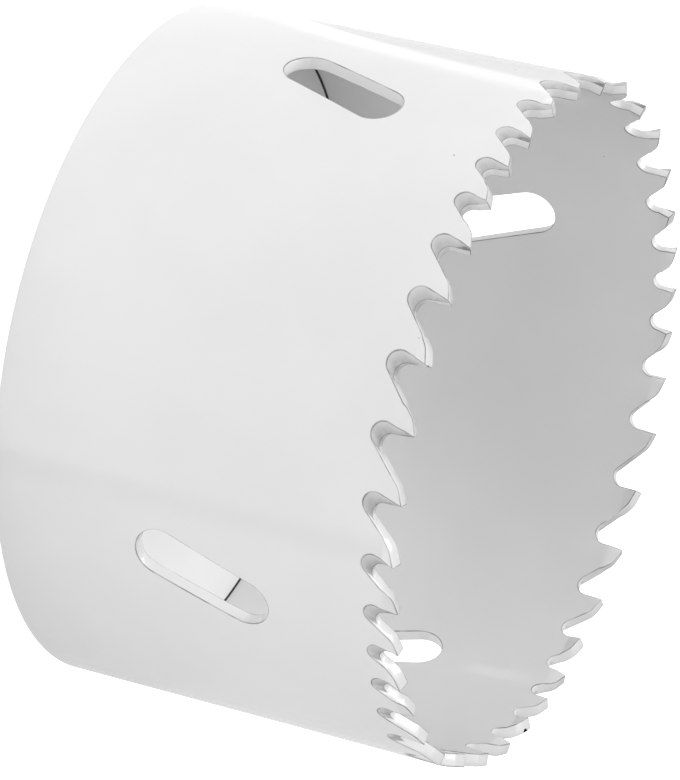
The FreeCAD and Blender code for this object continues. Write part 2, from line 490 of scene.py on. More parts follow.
@dataclass(frozen=True)
class Enamel:
    """Glossy white enamel, sprayed over the whole cup after it was cut, set and welded.

    Levels are linear. Scales are lumps to the metre.

    Attributes:
        name: The material's name.
        outside: The radius of the painted cup's outer face, in millimetres.
        scoop_depth: How deep the gullets' scoops go into that face.
        bare: The heights between which a wall's inner face has no paint.
        chips: Where the coat has come off.
        paint: The enamel's level.
        clouds: The level in the faint clouds of the sprayed coat.
        cloud_scale: The clouds' scale.
        cloud_detail: How many finer layers the clouds have.
        cloud_limits: The noise at which a cloud starts and at which it is full.
        primer: The level at a sharp edge, where the coat is thin, and the darkest level of the painted
            shade in the scoops.
        edge_share: How much of the primer shows along an edge.
        edge_falloff: The power of a mark at an edge; less than 1 makes its band wider.
        edge_patches: How uneven the coat is along an edge.
        scoop_share: How much of the primer's level shows in a scoop, as thin paint and as painted shade.
        scoop_shade: How much painted shade there is at the scoop's rim.
        slope_shade: How much more painted shade there is at the bottom of its slope.
        crease_shade: How much more painted shade there is in its crease.
        crease_start: Where the crease starts, as a share of the depth.
        scoop_patches: How uneven the coat and its painted shade are on the slope.
        speck: The level of a speck of dust in the coat.
        speck_scale: The specks' scale.
        speck_size: A speck's radius, in widths of its cell.
        dust_above: How high above the floor the specks of dust begin, in millimetres.
        metal: The level of bare metal in a chip.
        chip_scale: The scale of the lumps in a chip's outline.
        chip_radii: A chip's radius where the noise is 0, in its sizes, and what it gains up to 1.
        roughness: The coat's roughness.
        roughness_swing: How much it changes from place to place.
        refraction: The coat's index of refraction.
        peel_scale: The scale of the coat's orange peel.
        peel_height: Its height in metres.
    """

    name: str
    outside: float
    scoop_depth: float
    bare: tuple[float, float] | None = None
    chips: tuple[Chip, ...] = ()
    paint: float = 0.87
    clouds: float = 0.845
    cloud_scale: float = 70.0
    cloud_detail: float = 3.0
    cloud_limits: tuple[float, float] = (0.35, 0.7)
    primer: float = 0.12
    edge_share: float = 0.95
    edge_falloff: float = 0.6
    edge_patches: Patches = Patches(scale=520.0, limits=(0.35, 0.65), share=0.5)
    scoop_share: float = 0.9
    scoop_shade: float = 0.26
    slope_shade: float = 0.36
    crease_shade: float = 0.3
    crease_start: float = 0.88
    scoop_patches: Patches = Patches(scale=1560.0, limits=(0.4, 0.7), share=0.4)
    speck: float = 0.35
    speck_scale: float = 260.0
    speck_size: float = 0.022
    dust_above: float = 33.0
    metal: float = 0.012
    chip_scale: float = 3500.0
    chip_radii: tuple[float, float] = (0.1, 1.8)
    roughness: float = 0.1
    roughness_swing: float = 0.06
    refraction: float = 1.5
    peel_scale: float = 520.0
    peel_height: float = 0.000003

    def mark(self, bench: ShaderBench, name: str) -> Value:
        """Return one of the marks that the mesh carries, from 0 to 1."""
        settings = {"attribute_name": name, "attribute_type": "GEOMETRY"}
        return bench.node("ShaderNodeAttribute", settings, output="Fac")

    def worn(self, bench: ShaderBench, place: Value) -> Value:
        """Return where the primer shows along sharp edges, from 0 to 1."""
        edge = self.mark(bench, EDGE_ATTRIBUTE) ** self.edge_falloff
        return edge * self.edge_patches.shown(bench, place) * self.edge_share

    def scoop_painted_shade(self, bench: ShaderBench, place: Value) -> Value:
        """Return the painted shade in the scoops, over their thin paint, deeper and deeper towards their
        creases.
        """
        depth = (self.outside * MM - bench.reach(place)) / (self.scoop_depth * MM)
        slope = self.slope_shade * depth.step(0.0, 1.0) * self.scoop_patches.shown(bench, place)
        crease = self.crease_shade * depth.step(self.crease_start, 1.0)
        return self.mark(bench, SCOOP_ATTRIBUTE) * (self.scoop_shade + slope + crease) * self.scoop_share

    def unpainted(self, bench: ShaderBench, place: Value) -> Value:
        """Return 1 where the inner face has no paint, beside the end plate's seam."""
        height = bench.coordinate(place, "Z")
        inside = bench.reach(place) < (self.outside - self.scoop_depth) * MM
        bottom, top = (level * MM for level in self.bare)
        return inside * (height < top) * (1.0 - (height < bottom))

    def specks(self, bench: ShaderBench, place: Value) -> Value:
        """Return 1 in the specks of dust, which lie near the teeth."""
        distance = bench.node(
            "ShaderNodeTexVoronoi", {}, {"Vector": place, "Scale": self.speck_scale}, "Distance"
        )
        below = bench.coordinate(place, "Z") < self.dust_above * MM
        return (distance < self.speck_size) * (1.0 - below)

    def chipped(self, bench: ShaderBench, place: Value) -> Value:
        """Return 1 in the chips, whose outlines are a little ragged."""
        least, swing = self.chip_radii
        ragged = least + swing * bench.noise(place, self.chip_scale)
        found: Value | None = None
        for chip in self.chips:
            middle = tuple(length * MM for length in chip.place)
            inside = bench.between(place, "DISTANCE", middle) < ragged * (chip.size * MM)
            found = found.higher(inside) if found else inside
        return found

    def colour(self, bench: ShaderBench, place: Value, clouds: Value) -> Value:
        """Return the coat's colour, with its clouds, thin places, painted shade in the scoops, dust and
        chips.

        Args:
            bench: The material's nodes.
            place: Where the coat is looked at.
            clouds: How much of a cloud there is.

        Returns:
            The colour.
        """
        colour = bench.blend(clouds, grey(self.paint), grey(self.clouds))
        # Painted shade: the scoops darken towards their creases, over their thin paint.
        colour = bench.blend(self.scoop_painted_shade(bench, place), colour, grey(self.primer))
        colour = bench.blend(self.worn(bench, place), colour, grey(self.primer))
        if self.bare:
            colour = bench.blend(self.unpainted(bench, place), colour, grey(self.primer))
        colour = bench.blend(self.specks(bench, place), colour, grey(self.speck))
        if self.chips:
            colour = bench.blend(self.chipped(bench, place), colour, grey(self.metal))
        return colour

    def build(self) -> bpy.types.Material:
        """Make the material.

        Returns:
            The enamel.
        """
        bench = ShaderBench(bpy.data.materials.new(self.name))
        place = bench.place()
        clouds = bench.noise(place, self.cloud_scale, self.cloud_detail).step(*self.cloud_limits)
        peel = bench.noise(place, self.peel_scale)
        return bench.finish(bench.node("ShaderNodeBsdfPrincipled", {}, {
            "Base Color": self.colour(bench, place, clouds),
            "Roughness": self.roughness + self.roughness_swing * clouds,
            "Normal": bench.node(
                "ShaderNodeBump", {}, {"Height": peel, "Strength": 1.0, "Distance": self.peel_height}
            ),
            "IOR": self.refraction,
        }))


@dataclass
class Pen:
    """A point that draws an outline in the XZ plane of a new mesh, line by line and arc by arc.

    Attributes:
        name: The new object's name.
        x: Where the pen stands along X, in millimetres.
        z: Where the pen stands along Z.
        y: The height of the drawing plane along Y.
        arc_step: The most that one edge of an arc may turn, in degrees.
        piece: The new object.
    """

    name: str
    x: float
    z: float
    y: float = 0.0
    arc_step: float = 8.0
    piece: bpy.types.Object = field(init=False)

    def __post_init__(self) -> None:
        """Put the pen down: a plane shrunk to the outline's first vertex, left in edit mode."""
        bpy.ops.object.select_all(action="DESELECT")
        bpy.ops.mesh.primitive_plane_add(size=1.0, location=(0.0, 0.0, 0.0))
        self.piece = bpy.context.object
        self.piece.name = self.piece.data.name = self.name
        bpy.ops.object.mode_set(mode="EDIT")
        bpy.ops.mesh.select_mode(type=Element.VERTEX.value)
        bpy.ops.mesh.select_all(action="SELECT")
        bpy.ops.mesh.merge(type="CENTER")
        bpy.ops.transform.translate(value=(self.x, self.y, self.z))

    def line(self, x: float, z: float) -> None:
        """Draw a straight line to a point."""
        push((x - self.x, 0.0, z - self.z))
        self.x, self.z = x, z

    def arc(self, centre_x: float, centre_z: float, sweep: float) -> None:
        """Draw an arc round a centre.

        Args:
            centre_x: The centre along X.
            centre_z: The centre along Z.
            sweep: How far the arc turns from +X towards +Z, in radians; negative turns back.
        """
        steps = max(2, math.ceil(abs(math.degrees(sweep)) / self.arc_step))
        bpy.ops.mesh.spin(
            steps=steps, angle=sweep, center=(centre_x, self.y, centre_z), axis=(0.0, 1.0, 0.0)
        )
        dx, dz = self.x - centre_x, self.z - centre_z
        self.x = centre_x + dx * math.cos(sweep) - dz * math.sin(sweep)
        self.z = centre_z + dx * math.sin(sweep) + dz * math.cos(sweep)

    def lift(self, fill: bool = True) -> bpy.types.Object:
        """Join the outline's ends and leave edit mode.

        Args:
            fill: Whether the outline is filled with one face.

        Returns:
            The flat piece.
        """
        bpy.ops.mesh.select_all(action="SELECT")
        bpy.ops.mesh.remove_doubles(threshold=MERGE_DISTANCE)
        if fill:
            bpy.ops.mesh.edge_face_add()
        bpy.ops.object.mode_set(mode="OBJECT")
        return self.piece


@dataclass(frozen=True)
class Gullet:
    """The gap between two teeth in the flat view of the strip, in millimetres and radians.

    Attributes:
        start: The tip of the tooth before the gap, along the strip.
        end: The tip of the tooth after it.
        depth: How far the round bottom lies below the tips.
        radius: The radius of the round bottom.
        rake: How far the cutting face leans back from upright.
        relief: How far the short face behind a tip falls away.
        relief_length: The length of that face along the strip.
    """

    start: float
    end: float
    depth: float
    radius: float
    rake: float
    relief: float
    relief_length: float

    @property
    def drop(self) -> float:
        """The centre of the round bottom, below the tips."""
        return self.depth - self.radius

    @property
    def centre(self) -> float:
        """The centre of the round bottom, along the strip."""
        return self.start + self.radius / math.cos(self.rake) - self.drop * math.tan(self.rake)

    @property
    def knee(self) -> tuple[float, float]:
        """The corner between relief and back, as its place along the strip and below the tips."""
        return self.end - self.relief_length, self.relief_length * math.tan(self.relief)

    @property
    def back(self) -> float:
        """The slope of the next tooth's back."""
        across = self.knee[0] - self.centre
        up = self.drop - self.knee[1]
        return math.atan2(up, across) + math.asin(self.radius / math.hypot(across, up))

    @property
    def rake_end(self) -> tuple[float, float]:
        """Where the cutting face runs into the round bottom, along the strip and below the tips."""
        across, down = self.radius * math.cos(self.rake), self.radius * math.sin(self.rake)
        return self.centre - across, self.drop - down

    @property
    def back_start(self) -> tuple[float, float]:
        """Where the round bottom runs into the next back, along the strip and below the tips."""
        across, down = self.radius * math.sin(self.back), self.radius * math.cos(self.back)
        return self.centre + across, self.drop + down


@dataclass
class ToothedShell:
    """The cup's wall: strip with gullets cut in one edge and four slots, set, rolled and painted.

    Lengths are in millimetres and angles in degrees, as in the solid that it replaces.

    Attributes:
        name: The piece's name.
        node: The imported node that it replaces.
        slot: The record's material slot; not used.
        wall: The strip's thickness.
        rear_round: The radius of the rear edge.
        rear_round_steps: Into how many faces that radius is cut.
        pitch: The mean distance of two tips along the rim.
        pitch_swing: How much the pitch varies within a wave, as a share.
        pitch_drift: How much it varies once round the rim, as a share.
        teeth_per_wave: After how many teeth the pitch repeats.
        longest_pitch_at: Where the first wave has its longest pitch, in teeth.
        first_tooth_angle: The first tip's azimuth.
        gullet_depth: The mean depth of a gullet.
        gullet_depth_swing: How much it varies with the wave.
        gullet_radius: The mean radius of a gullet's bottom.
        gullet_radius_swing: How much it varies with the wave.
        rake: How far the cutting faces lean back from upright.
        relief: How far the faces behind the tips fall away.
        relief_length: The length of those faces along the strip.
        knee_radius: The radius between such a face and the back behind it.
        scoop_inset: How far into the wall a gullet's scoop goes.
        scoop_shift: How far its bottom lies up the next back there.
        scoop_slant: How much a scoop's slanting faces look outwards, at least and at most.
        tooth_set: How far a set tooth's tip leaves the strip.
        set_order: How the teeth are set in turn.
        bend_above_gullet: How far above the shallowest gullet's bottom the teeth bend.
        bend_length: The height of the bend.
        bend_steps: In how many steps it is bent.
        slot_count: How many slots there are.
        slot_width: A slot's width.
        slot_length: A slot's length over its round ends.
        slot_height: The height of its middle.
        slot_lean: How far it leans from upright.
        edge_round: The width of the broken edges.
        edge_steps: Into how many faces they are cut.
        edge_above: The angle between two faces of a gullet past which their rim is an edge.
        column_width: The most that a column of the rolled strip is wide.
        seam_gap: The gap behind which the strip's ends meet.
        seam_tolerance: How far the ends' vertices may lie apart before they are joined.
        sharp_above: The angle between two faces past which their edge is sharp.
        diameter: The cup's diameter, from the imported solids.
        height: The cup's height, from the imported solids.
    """

    name: str = "enamelled_shell"
    node: str = "toothed_shell"
    slot: str = "shell_enamel"
    wall: float = 1.3
    rear_round: float = 0.8
    rear_round_steps: int = 6
    pitch: float = 5.62
    pitch_swing: float = 0.18
    pitch_drift: float = 0.024
    teeth_per_wave: float = 8.93
    longest_pitch_at: float = 0.91
    first_tooth_angle: float = 51.3
    gullet_depth: float = 3.6
    gullet_depth_swing: float = 0.45
    gullet_radius: float = 1.05
    gullet_radius_swing: float = 0.15
    rake: float = 19.0
    relief: float = 17.0
    relief_length: float = 1.7
    knee_radius: float = 2.0
    scoop_inset: float = 0.43
    scoop_shift: float = 1.3
    scoop_slant: tuple[float, float] = (0.15, 0.98)
    tooth_set: float = 0.35
    set_order: tuple[Set, ...] = (Set.OUT, Set.IN, Set.STRAIGHT)
    bend_above_gullet: float = 0.3
    bend_length: float = 0.45
    bend_steps: int = 3
    slot_count: int = 4
    slot_width: float = 5.0
    slot_length: float = 14.1
    slot_height: float = 21.6
    slot_lean: float = 21.0
    edge_round: float = 0.11
    edge_steps: int = 2
    edge_above: float = 5.0
    column_width: float = 0.48
    seam_gap: int = 27
    seam_tolerance: float = 0.05
    sharp_above: float = 50.0
    diameter: float = field(init=False)
    height: float = field(init=False)

    def __post_init__(self) -> None:
        """Take the cup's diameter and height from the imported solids."""
        self.diameter = round(node_width(PLATE_NODE) + 2 * self.wall, 1)
        self.height = round(node_height(self.node), 1)

    @property
    def radius(self) -> float:
        """The cup's outer radius."""
        return self.diameter / 2

    @property
    def length(self) -> float:
        """The strip's length, which is the cup's outer circumference."""
        return math.pi * self.diameter

    @property
    def end(self) -> float:
        """Where the strip's end begins, along the strip from its middle."""
        return self.length / 2 - MERGE_DISTANCE

    @property
    def tooth_count(self) -> int:
        """How many teeth of the mean pitch the rim takes."""
        return round(self.length / self.pitch)

    @property
    def bend_height(self) -> float:
        """Where the teeth bend out of the strip."""
        shallowest = self.gullet_depth - self.gullet_depth_swing - self.scoop_shift
        return self.height - shallowest + self.bend_above_gullet

    @property
    def bend_lines(self) -> list[float]:
        """The heights of the lines at which the teeth are bent, a little at each."""
        steps = range(self.bend_steps)
        return [self.bend_height + step * self.bend_length / self.bend_steps for step in steps]

    def wave(self, gap: int) -> float:
        """Return 1 at the gap with the longest pitch and -1 at the gap with the shortest one."""
        return math.cos(2 * math.pi * (gap + 0.5 - self.longest_pitch_at) / self.teeth_per_wave)

    def gullets(self) -> list[Gullet]:
        """Return every gap between two teeth, in the order in which the strip shows them.

        Returns:
            The gaps from the seam's gap on, the last one being the seam's gap one turn later.
        """
        turn_share = 2 * math.pi / self.tooth_count
        shares = [
            1 + self.pitch_swing * self.wave(gap) + self.pitch_drift * math.cos(gap * turn_share)
            for gap in range(self.tooth_count)
        ]
        per_share = self.length / sum(shares)
        tips = [math.radians(self.first_tooth_angle) * self.radius]
        for share in shares:
            tips.append(tips[-1] + share * per_share)
        gaps = []
        for place in range(self.tooth_count + 1):
            turn, gap = divmod(self.seam_gap + place, self.tooth_count)
            gaps.append(Gullet(
                start=tips[gap] + turn * self.length,
                end=tips[gap + 1] + turn * self.length,
                depth=self.gullet_depth + self.gullet_depth_swing * self.wave(gap),
                radius=self.gullet_radius + self.gullet_radius_swing * self.wave(gap),
                rake=math.radians(self.rake),
                relief=math.radians(self.relief),
                relief_length=self.relief_length,
            ))
        return gaps

    def back_end(self, gap: Gullet) -> tuple[float, float]:
        """Return where a back runs into its knee's rounding, along the strip and below the tips."""
        trim = self.knee_radius * math.tan((gap.back - gap.relief) / 2)
        return gap.knee[0] - trim * math.cos(gap.back), gap.knee[1] + trim * math.sin(gap.back)

    def seam(self, gap: Gullet) -> tuple[float, float]:
        """Return where the strip's ends meet: the middle of the back behind the seam's gap."""
        start, end = gap.back_start, self.back_end(gap)
        return (start[0] + end[0]) / 2, (start[1] + end[1]) / 2

    def draw_tooth(self, pen: Pen, before: Gullet, after: Gullet, shift: float) -> None:
        """Draw one tooth from the foot of its back to the foot of the next tooth's back.

        Args:
            pen: The pen, standing on the tooth's back.
            before: The gap before the tooth.
            after: The gap after it.
            shift: How far the strip's middle lies along the rim.
        """
        back, rake = before.back, after.rake
        x, drop = self.back_end(before)
        pen.line(x - shift, self.height - drop)
        pen.arc(
            x - shift + self.knee_radius * math.sin(back),
            self.height - drop - self.knee_radius * math.cos(back),
            before.relief - back,
        )
        pen.line(before.end - shift, self.height)
        x, drop = after.rake_end
        pen.line(x - shift, self.height - drop)
        pen.arc(after.centre - shift, self.height - after.drop, math.radians(90) + rake + after.back)

    def draw_strip(self, gaps: list[Gullet], shift: float) -> bpy.types.Object:
        """Draw the flat strip's outline, fill it and give it the wall's thickness.

        Args:
            gaps: The gaps between the teeth.
            shift: How far the strip's middle lies along the rim.

        Returns:
            The blank, with its outer face at y = 0 and its inner face at y = wall.
        """
        pen = Pen(self.name, -self.length / 2, 0.0)
        seam_height = self.height - self.seam(gaps[0])[1]
        pen.line(-self.length / 2, seam_height)
        for before, after in zip(gaps, gaps[1:]):
            self.draw_tooth(pen, before, after, shift)
        pen.line(self.length / 2, seam_height)
        pen.line(self.length / 2, 0.0)
        strip = pen.lift()
        with editing(strip):
            push((0.0, self.scoop_inset, 0.0))
            push((0.0, self.wall - self.scoop_inset, 0.0))
            mend(MERGE_DISTANCE)
        return strip

    def scoop(self, strip: bpy.types.Object, gap: Gullet, shift: float) -> None:
        """Move a round bottom up along the next back, except at the strip's outer face.

        The side of the bottom that the cutting face runs into is made straight there again.

        Args:
            strip: The blank in edit mode.
            gap: The gap with that bottom.
            shift: How far the strip's middle lies along the rim.
        """
        centre = Vector((gap.centre - shift, 0.0, self.height - gap.drop))
        move = Vector((math.cos(gap.back), 0.0, math.sin(gap.back))) * self.scoop_shift
        moved = centre + move

        def on_bottom(vertex: bmesh.types.BMVert) -> bool:
            """Say whether a vertex lies on the round bottom, below the strip's outer face."""
            away = (vertex.co - centre).xz.length
            return vertex.co.y > MERGE_DISTANCE and abs(away - gap.radius) < MERGE_DISTANCE

        def on_rake_side(vertex: bmesh.types.BMVert) -> bool:
            """Say whether a vertex lies in the moved bottom's quarter beside the cutting face."""
            offset = (vertex.co - moved).xz
            return offset.length < gap.radius + MERGE_DISTANCE and offset.y > 0 > offset.x

        choose(strip, Element.VERTEX, on_bottom)
        bpy.ops.transform.translate(value=move)
        choose_again(strip, on_rake_side)
        bpy.ops.transform.resize(value=(0.0, 1.0, 1.0), center_override=(moved.x - gap.radius, 0.0, 0.0))

    def slot_punch(self, place: float) -> bpy.types.Object:
        """Make the punch for one slot.

        Args:
            place: The slot's middle along the strip.

        Returns:
            A round-ended bar through the strip, leaning as the slot does.
        """
        half_width = self.slot_width / 2
        half_straight = self.slot_length / 2 - half_width
        pen = Pen("slot_punch", -half_width, -half_straight, y=-OUTWARD_STEP)
        pen.line(-half_width, half_straight)
        pen.arc(0.0, half_straight, -math.pi)
        pen.line(half_width, -half_straight)
        pen.arc(0.0, -half_straight, -math.pi)
        punch = pen.lift()
        with editing(punch):
            push((0.0, self.wall + 2 * OUTWARD_STEP, 0.0))
            mend(MERGE_DISTANCE)
        punch.rotation_euler = (0.0, math.radians(self.slot_lean), 0.0)
        punch.location = (place, 0.0, self.slot_height)
        only(punch)
        bpy.ops.object.transform_apply(location=True, rotation=True, scale=True)
        return punch

    def punch_slots(self, strip: bpy.types.Object, shift: float) -> None:
        """Punch the slots through the strip.

        Args:
            strip: The flat strip.
            shift: How far the strip's middle lies along the rim.
        """
        for number in range(self.slot_count):
            place = number * self.length / self.slot_count - shift
            carve(strip, self.slot_punch(place - self.length * round(place / self.length)))

    def is_rear_edge(self, edge: bmesh.types.BMEdge) -> bool:
        """Say whether an edge of the flat strip is the rear edge of its outer face."""
        return not self.at_end(edge) and all(
            abs(vertex.co.z) < MERGE_DISTANCE and abs(vertex.co.y) < MERGE_DISTANCE
            for vertex in edge.verts
        )

    def is_sharp_edge(self, edge: bmesh.types.BMEdge) -> bool:
        """Say whether an edge of the flat strip is sharp, and no crease of a scoop."""
        if self.at_end(edge) or len(edge.link_faces) != 2:
            return False
        sharp = edge.calc_face_angle() > math.radians(self.sharp_above)
        return self.on_rim(edge, 0.0) or (sharp and not self.on_rim(edge, self.scoop_inset))

    def at_end(self, part: bmesh.types.BMEdge | bmesh.types.BMFace) -> bool:
        """Say whether an edge or face lies in one of the strip's ends."""
        return all(abs(vertex.co.x) > self.end for vertex in part.verts)

    def on_rim(self, edge: bmesh.types.BMEdge, depth: float) -> bool:
        """Say whether an edge borders a gullet or tooth at some depth in the strip."""
        return edge.calc_face_angle() > math.radians(self.edge_above) and all(
            abs(vertex.co.y - depth) < MERGE_DISTANCE and vertex.co.z > self.slot_height
            for vertex in edge.verts
        )

    def in_scoop(self, face: bmesh.types.BMFace) -> bool:
        """Say whether a face of the flat strip slants from its outer face to a scoop's crease."""
        deepest = max(vertex.co.y for vertex in face.verts)
        reaches = abs(deepest - self.scoop_inset) < MERGE_DISTANCE
        return reaches and self.scoop_slant[0] < -face.normal.y < self.scoop_slant[1]

    def round_edges(self, strip: bpy.types.Object) -> None:
        """Round the rear edge, and every other sharp edge a little, as paint leaves it.

        Args:
            strip: The flat strip with its slots.
        """
        with editing(strip):
            choose(strip, Element.EDGE, self.is_rear_edge)
            round_off(self.rear_round, self.rear_round_steps)
            choose(strip, Element.EDGE, self.is_sharp_edge)
            round_off(self.edge_round, self.edge_steps)
            mark_crests(strip)
            # Flag the scoops' faces, where the enamel paints shade that deepens towards the creases.
            choose(strip, Element.FACE, self.in_scoop)
            bpy.ops.geometry.attribute_add(name=SCOOP_ATTRIBUTE, domain="FACE", data_type="FLOAT")
            bpy.ops.mesh.attribute_set(value_float=1.0)

    def cut_columns(self, strip: bpy.types.Object) -> None:
        """Cut the flat strip into narrow columns, so that it can be rolled, and at the bend.

        Args:
            strip: The flat strip.
        """
        columns = round(self.length / self.column_width)
        with editing(strip):
            for height in self.bend_lines:
                cut_across((0.0, 0.0, height), (0.0, 0.0, 1.0))
            for column in range(1, columns):
                place = (column / columns - 0.5) * self.length
                cut_across((place, 0.0, 0.0), (1.0, 0.0, 0.0))

    def set_teeth(self, strip: bpy.types.Object, gaps: list[Gullet], shift: float) -> None:
        """Bend the teeth outwards and inwards, a little at each of the lines above the gullets.

        Args:
            strip: The flat strip.
            gaps: The gaps between the teeth.
            shift: How far the strip's middle lies along the rim.
        """
        lean = math.atan(self.tooth_set / (self.height - self.bend_height - self.bend_length / 2))
        valleys = [gap.centre - shift + self.scoop_shift * math.cos(gap.back) for gap in gaps]

        def set_at(x: float) -> Set:
            """Return how the tooth at a place along the strip is set."""
            tooth = (self.seam_gap + 1 + sum(valley < x for valley in valleys[1:])) % self.tooth_count
            return self.set_order[tooth % len(self.set_order)]

        def bend(way: Set, height: float) -> None:
            """Turn the teeth of one set by one step about a line of the strip's middle."""
            choose(strip, Element.VERTEX, lambda vertex: (
                vertex.co.z > height + MERGE_DISTANCE and set_at(vertex.co.x) is way
            ))
            bpy.ops.transform.rotate(
                value=-way.value * lean / self.bend_steps,
                orient_axis="X",
                center_override=(0.0, self.wall / 2, height),
            )

        with editing(strip):
            for way in (Set.OUT, Set.IN):
                for height in self.bend_lines:
                    bend(way, height)
            choose(strip, Element.VERTEX, lambda vertex: vertex.co.z > self.height)
            bpy.ops.transform.resize(value=(1.0, 1.0, 0.0), center_override=(0.0, 0.0, self.height))

    def roll(self, strip: bpy.types.Object) -> None:
        """Roll the strip into the cup and weld its ends together.

        Args:
            strip: The flat strip.
        """
        with editing(strip):
            choose(strip, Element.FACE, self.at_end)
            bpy.ops.mesh.delete(type="FACE")
        apply(strip, "SIMPLE_DEFORM", deform_method="BEND", deform_axis="Z", angle=2 * math.pi)
        with editing(strip):
            bpy.ops.transform.translate(value=(0.0, -self.radius, 0.0))
            mend(MERGE_DISTANCE)
            bpy.ops.mesh.select_all(action="DESELECT")
            bpy.ops.mesh.select_non_manifold()
            bpy.ops.mesh.remove_doubles(threshold=self.seam_tolerance)

    def build(self, finish: bpy.types.Material) -> bpy.types.Object:
        """Model the shell, place it and give it its finish.

        Args:
            finish: The enamel.

        Returns:
            The finished piece.
        """
        gaps = self.gullets()
        shift = self.seam(gaps[0])[0] + self.length / 2
        strip = self.draw_strip(gaps, shift)
        with editing(strip):
            for gap in gaps[1:]:
                self.scoop(strip, gap, shift)
        self.punch_slots(strip, shift)
        self.round_edges(strip)
        self.cut_columns(strip)
        self.set_teeth(strip, gaps, shift)
        self.roll(strip)
        settle(strip, turn=shift / self.radius + math.radians(90))
        soften(strip, self.sharp_above)
        hand_over(strip, finish, self.node)
        return strip


@dataclass
class EndPlate:
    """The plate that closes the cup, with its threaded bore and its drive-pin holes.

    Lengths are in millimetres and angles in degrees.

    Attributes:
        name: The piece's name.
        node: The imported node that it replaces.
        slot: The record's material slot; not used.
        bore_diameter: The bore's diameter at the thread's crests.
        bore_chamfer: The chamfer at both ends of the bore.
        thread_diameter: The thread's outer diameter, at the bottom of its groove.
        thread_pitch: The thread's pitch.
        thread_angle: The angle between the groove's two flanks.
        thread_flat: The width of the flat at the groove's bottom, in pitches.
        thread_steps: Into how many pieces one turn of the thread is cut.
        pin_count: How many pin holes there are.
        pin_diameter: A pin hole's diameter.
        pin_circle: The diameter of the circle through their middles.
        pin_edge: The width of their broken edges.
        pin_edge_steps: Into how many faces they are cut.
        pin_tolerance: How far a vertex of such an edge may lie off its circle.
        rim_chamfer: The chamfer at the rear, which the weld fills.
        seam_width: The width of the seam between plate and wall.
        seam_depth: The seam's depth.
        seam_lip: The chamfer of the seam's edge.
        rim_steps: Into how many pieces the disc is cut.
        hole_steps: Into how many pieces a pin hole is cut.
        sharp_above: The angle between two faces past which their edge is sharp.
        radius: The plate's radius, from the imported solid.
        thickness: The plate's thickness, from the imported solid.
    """

    name: str = "threaded_plate"
    node: str = PLATE_NODE
    slot: str = "plate_enamel"
    bore_diameter: float = 14.3
    bore_chamfer: float = 0.6
    thread_diameter: float = 15.875
    thread_pitch: float = 25.4 / 18
    thread_angle: float = 60.0
    thread_flat: float = 0.125
    thread_steps: int = 64
    pin_count: int = 4
    pin_diameter: float = 7.0
    pin_circle: float = 25.4
    pin_edge: float = 0.3
    pin_edge_steps: int = 2
    pin_tolerance: float = 0.02
    rim_chamfer: float = 0.35
    seam_width: float = 0.2
    seam_depth: float = 0.7
    seam_lip: float = 0.05
    rim_steps: int = 120
    hole_steps: int = 56
    sharp_above: float = 40.0
    radius: float = field(init=False)
    thickness: float = field(init=False)

    def __post_init__(self) -> None:
        """Take the plate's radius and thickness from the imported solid."""
        self.radius = round(node_width(self.node), 1) / 2
        self.thickness = round(node_height(self.node), 1)

    def turn_disc(self) -> bpy.types.Object:
        """Turn the disc from its section: chamfered bore, rim, and the seam beside the wall.

        Returns:
            The disc.
        """
        bore, chamfer = self.bore_diameter / 2, self.bore_chamfer
        top, inner = self.thickness, self.radius - self.seam_width
        pen = Pen(self.name, bore + chamfer, 0.0)
        pen.line(self.radius - self.rim_chamfer, 0.0)
        pen.line(self.radius, self.rim_chamfer)
        pen.line(self.radius, top - self.seam_depth)
        pen.line(inner, top - self.seam_depth)
        pen.line(inner, top - self.seam_lip)
        pen.line(inner - self.seam_lip, top)
        pen.line(bore + chamfer, top)
        pen.line(bore, top - chamfer)
        pen.line(bore, chamfer)
        pen.line(bore + chamfer, 0.0)
        disc = pen.lift(fill=False)
        with editing(disc):
            bpy.ops.mesh.spin(
                steps=self.rim_steps, angle=2 * math.pi, center=(0.0, 0.0, 0.0), axis=(0.0, 0.0, 1.0)
            )
            mend(MERGE_DISTANCE)
            choose(disc, Element.VERTEX, self.in_seam)
            mark_thin_paint()
        return disc

    def in_seam(self, vertex: bmesh.types.BMVert) -> bool:
        """Say whether a vertex of the disc lies in the seam beside the wall, where no paint gets."""
        height = self.thickness - vertex.co.z
        at_rim = vertex.co.xy.length > self.radius - self.seam_width - MERGE_DISTANCE
        return at_rim and self.seam_lip / 2 < height < self.seam_depth + MERGE_DISTANCE

    def tap(self) -> bpy.types.Object:
        """Make the tap: the helical ridge whose shape the thread's groove has.

        It starts a little inside the bore, so that it cuts cleanly through the bore's surface.

        Returns:
            The ridge, longer than the plate is thick.
        """
        slope = math.tan(math.radians(self.thread_angle / 2))
        flat = self.thread_flat * self.thread_pitch
        root, root_half = self.thread_diameter / 2, flat / 2
        crest = self.bore_diameter / 2 - flat
        crest_half = root_half + (root - crest) * slope
        start = -self.thread_pitch
        pen = Pen("tap", crest, start - crest_half)
        pen.line(root, start - root_half)
        pen.line(root, start + root_half)
        pen.line(crest, start + crest_half)
        pen.line(crest, start - crest_half)
        ridge = pen.lift(fill=False)
        turns = math.ceil(self.thickness / self.thread_pitch) + 2
        apply(
            ridge, "SCREW", angle=2 * math.pi, screw_offset=self.thread_pitch, iterations=turns,
            steps=self.thread_steps, render_steps=self.thread_steps, axis="Z",
        )
        with editing(ridge):
            bpy.ops.mesh.fill_holes(sides=0)
            mend(MERGE_DISTANCE)
        return ridge

    def pin_centres(self) -> list[Vector]:
        """Return the middle of each pin hole."""
        step = 2 * math.pi / self.pin_count
        reach = self.pin_circle / 2
        return [
            Vector((reach * math.cos(step * hole), reach * math.sin(step * hole), 0.0))
            for hole in range(self.pin_count)
        ]

